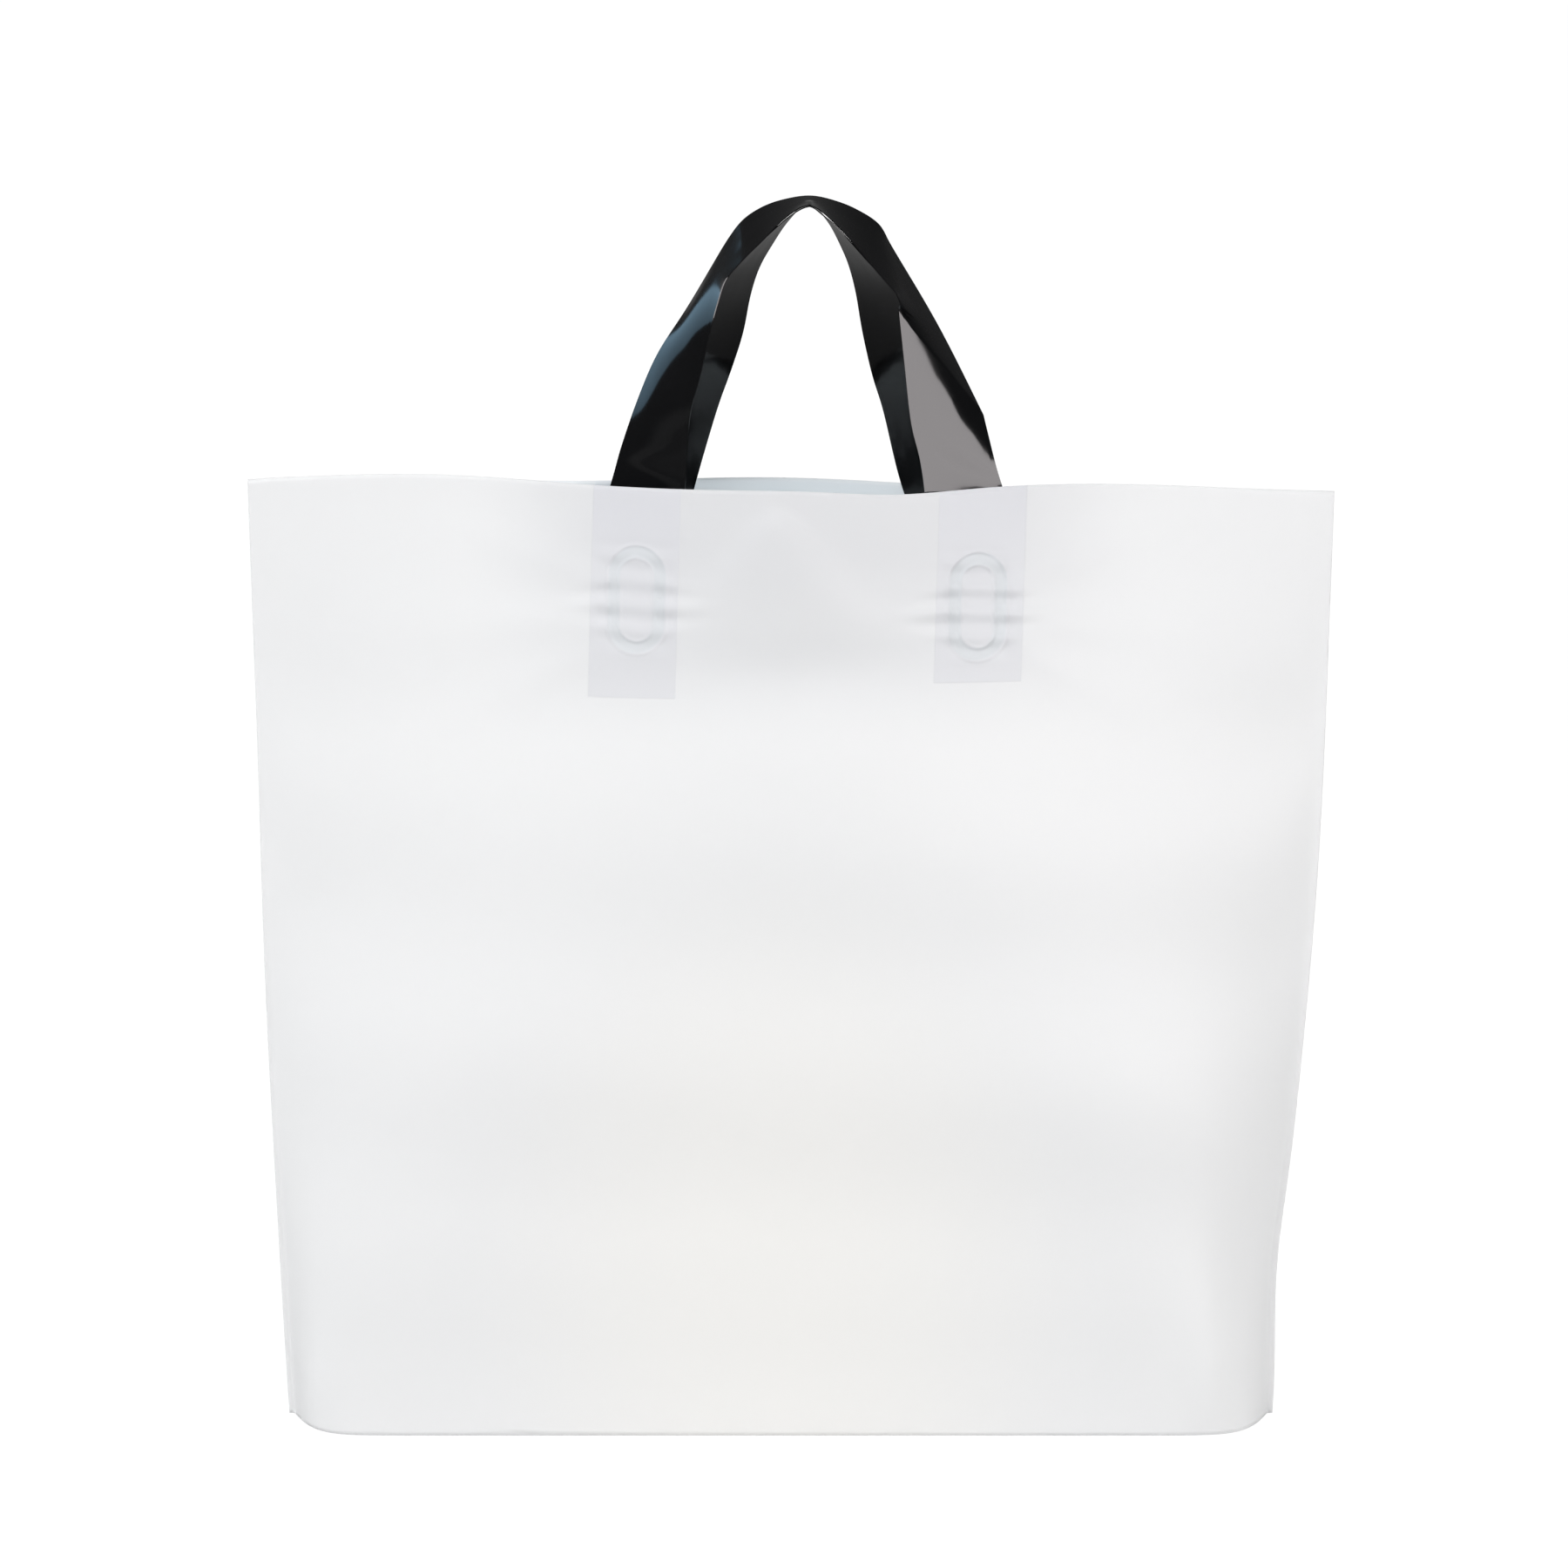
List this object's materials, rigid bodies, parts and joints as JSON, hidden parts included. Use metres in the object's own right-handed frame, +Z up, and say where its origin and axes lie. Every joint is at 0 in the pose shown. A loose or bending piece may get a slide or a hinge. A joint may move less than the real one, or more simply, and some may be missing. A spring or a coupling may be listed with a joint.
{
  "type": "plastic carrier bag",
  "caption": "White film carrier bag standing open on its bottom gusset, with welded side seams and black soft loop handles sealed inside the front and back panels.",
  "frame": {"origin": "on the floor under the middle of the standing bag", "axes": "+Z up from the bottom gusset to the handles, -Y out of the front panel, X from seam to seam"},
  "size_m": [0.3967, 0.0773, 0.4541],
  "materials": {
    "white_film": "opaque milky film with a soft sheen, seals and puckers at the handle welds",
    "black_film": "glossy black film strip with soft creases"
  },
  "bodies": {
    "root": {"bag_body": "white_film", "front_handle": "black_film", "back_handle": "black_film"}
  },
  "joints": []
}
